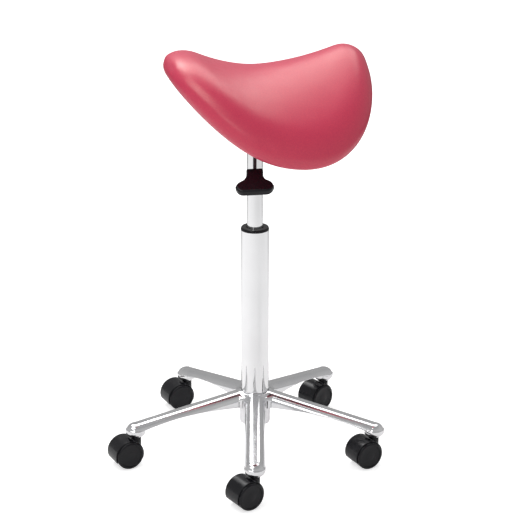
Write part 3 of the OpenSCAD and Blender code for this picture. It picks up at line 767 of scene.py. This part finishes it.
def lever_knob():
    knob = carve(copy_of_node("lever_knob", "lever_paddle"), paddle_distance, PADDLE_VOXEL)
    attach(knob, "lever")
    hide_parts("lever_paddle")
    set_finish(knob, "black_plastic")
    return knob


# ------------------------------------------------------------------ lining

LINING_VOXEL = 1.4


def lining():
    """The cloth under the seat, its facets smoothed."""
    cloth = copy_of_node("lining", "dust_cover")
    voxel_remesh(cloth, LINING_VOXEL * MM)
    mesh = cloth.data
    pairs = edge_pairs(mesh)
    set_points(mesh, relax(points_of(mesh), pairs, 0.5, 6))
    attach(cloth, "seat")
    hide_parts("dust_cover")
    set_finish(cloth, "black_cloth")
    return cloth


# --------------------------------------------------------------- materials

def new_material(name):
    """A material with its node tree and shader."""
    material = bpy.data.materials.new(name)
    material.use_nodes = True
    shader = material.node_tree.nodes["Principled BSDF"]
    return material, material.node_tree, shader


def add_node(tree, kind, **values):
    """Adds a shader node and sets its properties and inputs by name."""
    node = tree.nodes.new(kind)
    for key, value in values.items():
        if hasattr(node, key):
            setattr(node, key, value)
        else:
            node.inputs[key.replace("_", " ")].default_value = value
    return node


def object_space(tree, scale=(1, 1, 1)):
    place = tree.nodes.new("ShaderNodeTexCoord")
    mapping = tree.nodes.new("ShaderNodeMapping")
    mapping.inputs["Scale"].default_value = scale
    tree.links.new(place.outputs["Object"], mapping.inputs["Vector"])
    return mapping.outputs["Vector"]


def noise(tree, scale, detail=3, stretch=(1, 1, 1)):
    texture = add_node(tree, "ShaderNodeTexNoise", Scale=scale, Detail=detail)
    tree.links.new(object_space(tree, stretch), texture.inputs["Vector"])
    return texture.outputs["Fac"]


def cells(tree, scale):
    texture = add_node(tree, "ShaderNodeTexVoronoi", Scale=scale)
    texture.feature = "SMOOTH_F1"
    tree.links.new(object_space(tree), texture.inputs["Vector"])
    return texture.outputs["Distance"]


def ranged(tree, value, low, high, start=0.3, end=0.7, kind="LINEAR"):
    """Maps a value from start..end to low..high."""
    node = tree.nodes.new("ShaderNodeMapRange")
    node.interpolation_type = kind
    limits = {"From Min": start, "From Max": end, "To Min": low, "To Max": high}
    for name, number in limits.items():
        node.inputs[name].default_value = number
    tree.links.new(value, node.inputs["Value"])
    return node.outputs["Result"]


def mixed(tree, factor, first, second):
    """A colour between first and second; both are colours or node outputs."""
    node = tree.nodes.new("ShaderNodeMix")
    node.data_type = "RGBA"
    tree.links.new(factor, node.inputs[0])
    for socket, colour in ((node.inputs[6], first), (node.inputs[7], second)):
        if isinstance(colour, tuple):
            socket.default_value = (*colour, 1)
        else:
            tree.links.new(colour, socket)
    return node.outputs[2]


def combined(tree, operation, first, second):
    """The result of a maths node on two node outputs."""
    node = tree.nodes.new("ShaderNodeMath")
    node.operation = operation
    tree.links.new(first, node.inputs[0])
    tree.links.new(second, node.inputs[1])
    return node.outputs[0]


def bumps(tree, shader, layers):
    """Stacks bump layers (height output, strength, depth in metres) on a shader."""
    normal = None
    for height, strength, depth in layers:
        node = add_node(tree, "ShaderNodeBump", Strength=strength, Distance=depth)
        tree.links.new(height, node.inputs["Height"])
        if normal is not None:
            tree.links.new(normal, node.inputs["Normal"])
        normal = node.outputs["Normal"]
    tree.links.new(normal, shader.inputs["Normal"])


def edge_wear(tree, start, end):
    """Bright along convex edges, broken up by noise."""
    geometry = tree.nodes.new("ShaderNodeNewGeometry")
    edges = ranged(tree, geometry.outputs["Pointiness"], 0, 1, start, end)
    patches = ranged(tree, noise(tree, 120, 4), 0, 1, 0.45, 0.65)
    return combined(tree, "MULTIPLY", edges, patches)


def metal(name, dark, light, rough, scratch=(1, 1, 1), scratch_scale=900, wave=0.0):
    """A bare metal: slight tone changes, uneven roughness, fine scratches and waviness."""
    material, tree, shader = new_material(name)
    shader.inputs["Metallic"].default_value = 1
    tone = ranged(tree, noise(tree, 14, 2), 0, 1)
    tree.links.new(mixed(tree, tone, dark, light), shader.inputs["Base Color"])
    haze = ranged(tree, noise(tree, 45, 5), rough[0], rough[1])
    tree.links.new(haze, shader.inputs["Roughness"])
    layers = [(noise(tree, scratch_scale, 4, scratch), 0.05, 0.02 * MM)]
    if wave > 0:
        layers.append((noise(tree, 28, 1), 1.0, wave * MM))
    bumps(tree, shader, layers)
    return material


def plastic(name, colour, worn, rough, shine=0.5, grain=2600, depth=0.03):
    """A moulded plastic or a coating: fine grain, uneven gloss and paler edges."""
    material, tree, shader = new_material(name)
    shader.inputs["Specular IOR Level"].default_value = shine
    dust = ranged(tree, noise(tree, 35, 4), 0, 0.35)
    base = mixed(tree, dust, colour, tuple(c * 1.5 + 0.004 for c in colour))
    tree.links.new(mixed(tree, edge_wear(tree, 0.53, 0.6), base, worn), shader.inputs["Base Color"])
    gloss = ranged(tree, noise(tree, 60, 4), rough[0], rough[1])
    tree.links.new(gloss, shader.inputs["Roughness"])
    bumps(tree, shader, [(noise(tree, grain, 2), 0.3, depth * MM)])
    return material


def vinyl():
    """Upholstery vinyl: pebbled grain, soft sheen and a slightly mottled colour."""
    material, tree, shader = new_material("red_vinyl")
    mottle = ranged(tree, noise(tree, 420, 4), 0, 1, 0.3, 0.7)
    base = mixed(tree, mottle, (0.65, 0.016, 0.088), (0.74, 0.034, 0.096))
    grain = cells(tree, 900)
    pits = ranged(tree, grain, 0, 0.4, 0.1, 0.5)
    tree.links.new(mixed(tree, pits, base, (0.56, 0.012, 0.085)), shader.inputs["Base Color"])
    tree.links.new(ranged(tree, noise(tree, 70, 4), 0.33, 0.41), shader.inputs["Roughness"])
    shader.inputs["Specular IOR Level"].default_value = 1.0
    shader.inputs["Specular Tint"].default_value = (1.0, 0.93, 0.76, 1)
    shader.inputs["Sheen Weight"].default_value = 0.06
    shader.inputs["Sheen Roughness"].default_value = 0.4
    shader.inputs["Sheen Tint"].default_value = (1.0, 0.6, 0.45, 1)
    bumps(tree, shader, [(grain, 0.4, 0.10 * MM), (noise(tree, 2200, 3), 0.2, 0.04 * MM)])
    return material


def woven(name, colour, pitch):
    """A plain woven or felted lining cloth."""
    material, tree, shader = new_material(name)
    threads = []
    for axis in ("X", "Y"):
        wave = add_node(tree, "ShaderNodeTexWave", Scale=pitch, Distortion=1.2)
        wave.bands_direction = axis
        tree.links.new(object_space(tree), wave.inputs["Vector"])
        threads.append(wave.outputs["Fac"])
    weave = combined(tree, "MAXIMUM", threads[0], threads[1])
    lint = ranged(tree, noise(tree, 700, 4), 0, 0.6)
    base = mixed(tree, lint, colour, tuple(c * 2.2 for c in colour))
    shadow = tuple(c * 0.4 for c in colour)
    tree.links.new(mixed(tree, weave, shadow, base), shader.inputs["Base Color"])
    shader.inputs["Roughness"].default_value = 0.9
    shader.inputs["Sheen Weight"].default_value = 0.3
    bumps(tree, shader, [(weave, 0.6, 0.2 * MM)])
    return material


def wood():
    """Moulded plywood: long grain lines and pale, uneven plies."""
    material, tree, shader = new_material("plywood")
    grain = noise(tree, 30, 6, (1, 9, 9))
    tone = ranged(tree, grain, 0, 1, 0.3, 0.7)
    base = mixed(tree, tone, (0.42, 0.26, 0.12), (0.66, 0.46, 0.26))
    tree.links.new(base, shader.inputs["Base Color"])
    tree.links.new(ranged(tree, grain, 0.5, 0.75), shader.inputs["Roughness"])
    bumps(tree, shader, [(grain, 0.4, 0.3 * MM)])
    return material


def foam():
    """Moulded foam with open pores."""
    material, tree, shader = new_material("foam")
    pores = cells(tree, 900)
    # Darker towards each pore's middle, where the bump sinks: painted shade in the pore hollows.
    base = mixed(tree, ranged(tree, pores, 0, 1, 0.1, 0.5), (0.62, 0.52, 0.26), (0.82, 0.74, 0.48))
    tree.links.new(base, shader.inputs["Base Color"])
    shader.inputs["Roughness"].default_value = 0.95
    bumps(tree, shader, [(pores, 0.8, 0.4 * MM)])
    return material


def make_materials():
    return {
        "polished_aluminium": metal("polished_aluminium", (0.80, 0.80, 0.82), (0.88, 0.88, 0.89),
                                    (0.13, 0.20), wave=0.04),
        "chrome": metal("chrome", (0.90, 0.90, 0.91), (0.95, 0.95, 0.96), (0.03, 0.07), wave=0.02),
        "steel": metal("steel", (0.48, 0.48, 0.50), (0.62, 0.62, 0.64), (0.22, 0.38),
                       (1, 1, 8), 400),
        "painted_steel": plastic("painted_steel", (0.03, 0.03, 0.033), (0.10, 0.10, 0.105),
                                 (0.38, 0.5), grain=1400, depth=0.08),
        "brass": metal("brass", (0.62, 0.44, 0.17), (0.76, 0.58, 0.27), (0.18, 0.32),
                       (1, 1, 12), 300),
        "black_plastic": plastic("black_plastic", (0.004, 0.004, 0.006), (0.02, 0.02, 0.022),
                                 (0.18, 0.27), shine=0.3),
        "rubber": plastic("rubber", (0.018, 0.018, 0.018), (0.06, 0.06, 0.058), (0.6, 0.8),
                          grain=900, depth=0.08),
        "red_vinyl": vinyl(),
        "foam": foam(),
        "plywood": wood(),
        "black_cloth": woven("black_cloth", (0.02, 0.02, 0.021), 260),
    }


def dress(pieces, materials):
    """Gives every new piece and every carried-over CAD node its material."""
    for piece in pieces:
        piece.data.materials.clear()
        piece.data.materials.append(materials[piece["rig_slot"]])
    slots = node_slots()
    for name, obj in frame["nodes"].items():
        obj.data.materials.clear()
        obj.data.materials.append(materials[slots[name]])


def node_slots():
    """The record's material slot of each CAD node."""
    return {row["node"]: row["material_slot"] for row in frame["record"]["subparts"]}


# ------------------------------------------------------- stage and lighting

CAMERA_DISTANCE = 3.0
CAMERA_TARGET = (0.0028, 0.0, 0.352)
CAMERA_ELEVATION = math.radians(20)
CAMERA_YAW = math.radians(12)
CAMERA_LENS = 115.07
CAMERA_SENSOR = 36

FLOOR_SIZE = 30
FLOOR_TONE = 0.8
FLOOR_FAR_TONE = 0.25
FLOOR_GLOW = 0.6
FLOOR_MIRRORED = 0.18
ROOM_SIDE = 0.5
ROOM_BACK = 0.38
ROOM_TOP = 0.7
LIGHT_TARGET = (0, 0, 0.4)


def add_camera():
    back = CAMERA_DISTANCE * math.cos(CAMERA_ELEVATION)
    rise = CAMERA_DISTANCE * math.sin(CAMERA_ELEVATION)
    turn = Matrix.Rotation(-CAMERA_YAW, 4, "Z")
    target = turn @ Vector(CAMERA_TARGET)
    eye = turn @ (Vector(CAMERA_TARGET) + Vector((0, -back, rise)))
    data = bpy.data.cameras.new("camera")
    data.lens = CAMERA_LENS
    data.sensor_width = CAMERA_SENSOR
    camera = bpy.data.objects.new("camera", data)
    bpy.context.scene.collection.objects.link(camera)
    camera.location = eye
    camera.rotation_euler = (target - eye).to_track_quat("-Z", "Y").to_euler()
    bpy.context.scene.camera = camera


def add_softbox(name, azimuth, elevation, distance, width, height, power):
    """An area light aimed at the stool; azimuth is measured from the camera's side."""
    data = bpy.data.lights.new(name, "AREA")
    data.shape = "RECTANGLE"
    data.size = width
    data.size_y = height
    data.energy = power
    light = bpy.data.objects.new(name, data)
    bpy.context.scene.collection.objects.link(light)
    a = math.radians(azimuth) - CAMERA_YAW
    e = math.radians(elevation)
    target = Vector(LIGHT_TARGET)
    towards = Vector((math.sin(a) * math.cos(e), -math.cos(a) * math.cos(e), math.sin(e)))
    light.location = target + distance * towards
    light.rotation_euler = (target - light.location).to_track_quat("-Z", "Y").to_euler()
    return light


def faded(tree, value, low, high, start, end):
    """A smooth step from low to high as a value goes from start to end."""
    return ranged(tree, value, low, high, start, end, "SMOOTHSTEP")


def camera_axes(tree, kind):
    """X right, Y away and Z up, as the camera stands, of a position or a direction."""
    place = tree.nodes.new("ShaderNodeTexCoord")
    turn = tree.nodes.new("ShaderNodeMapping")
    turn.inputs["Rotation"].default_value = (0, 0, CAMERA_YAW)
    split = tree.nodes.new("ShaderNodeSeparateXYZ")
    tree.links.new(place.outputs[kind], turn.inputs["Vector"])
    tree.links.new(turn.outputs["Vector"], split.inputs["Vector"])
    return split.outputs


def add_floor():
    """A pale floor. The camera sees it evenly lit up to the horizon; reflections see it
    fall off behind the stool."""
    signs = ((-1, -1), (1, -1), (1, 1), (-1, 1))
    corners = [(x * FLOOR_SIZE, y * FLOOR_SIZE, 0) for x, y in signs]
    floor = mesh_object("floor", corners, [(0, 1, 2, 3)])
    material, tree, shader = new_material("floor")
    away = camera_axes(tree, "Object")["Y"]
    tone = faded(tree, away, FLOOR_TONE, FLOOR_FAR_TONE, 0.3, 1.8)
    path = tree.nodes.new("ShaderNodeLightPath")
    seen = path.outputs["Is Camera Ray"]
    colour = mixed(tree, seen, grey(tree, tone), (0.9, 0.9, 0.9))
    tree.links.new(colour, shader.inputs["Base Color"])
    shader.inputs["Roughness"].default_value = 0.9
    shader.inputs["Specular IOR Level"].default_value = 0
    direct = faded(tree, away, FLOOR_GLOW, 1, 0.5, 4)
    mirrored = faded(tree, away, FLOOR_MIRRORED, 0, 0.2, 1.6)
    glow = mixed(tree, seen, grey(tree, mirrored), grey(tree, direct))
    tree.links.new(glow, shader.inputs["Emission Color"])
    shader.inputs["Emission Strength"].default_value = 1
    floor.data.materials.append(material)


def grey(tree, value):
    node = tree.nodes.new("ShaderNodeCombineColor")
    for channel in ("Red", "Green", "Blue"):
        tree.links.new(value, node.inputs[channel])
    return node.outputs["Color"]


def add_world():
    """White behind the stool for the camera; for light and reflections a soft room that is
    darker behind the stool and overhead."""
    world = bpy.data.worlds.new("studio")
    bpy.context.scene.world = world
    world.use_nodes = True
    tree = world.node_tree
    tree.nodes.clear()
    axes = camera_axes(tree, "Generated")
    behind = faded(tree, axes["Y"], ROOM_SIDE, ROOM_BACK, 0.2, 0.9)
    top = faded(tree, axes["Z"], 1, ROOM_TOP, 0.5, 0.95)
    level = combined(tree, "MULTIPLY", behind, top)
    out = tree.nodes.new("ShaderNodeOutputWorld")
    room = tree.nodes.new("ShaderNodeBackground")
    tree.links.new(level, room.inputs["Strength"])
    white = add_node(tree, "ShaderNodeBackground", Strength=1.0)
    for node in (room, white):
        node.inputs["Color"].default_value = (1, 1, 1, 1)
    path = tree.nodes.new("ShaderNodeLightPath")
    mix = tree.nodes.new("ShaderNodeMixShader")
    tree.links.new(path.outputs["Is Camera Ray"], mix.inputs[0])
    tree.links.new(room.outputs[0], mix.inputs[1])
    tree.links.new(white.outputs[0], mix.inputs[2])
    tree.links.new(mix.outputs[0], out.inputs["Surface"])


def build_stage():
    bpy.context.scene.view_settings.view_transform = "Standard"
    add_floor()
    add_world()
    add_softbox("behind", 182, 56, 2.6, 2.5, 1.5, 29)
    add_softbox("behind_left", -143, 49, 2.6, 1.1, 1.1, 12)
    add_softbox("overhead_left", -60, 56, 2.5, 1.5, 1.5, 18)
    add_softbox("front_left", -24, 24, 2.8, 0.35, 1.0, 4)
    add_camera()


# ---------------------------------------------------------------- the stool

pieces = [saddle(), lining(), lever_knob(), star_base()]
for number in range(1, ARMS + 1):
    pieces.append(caster_hood(number))
    pieces.append(caster_wheel(number, "left"))
    pieces.append(caster_wheel(number, "right"))
dress(pieces, make_materials())
build_stage()
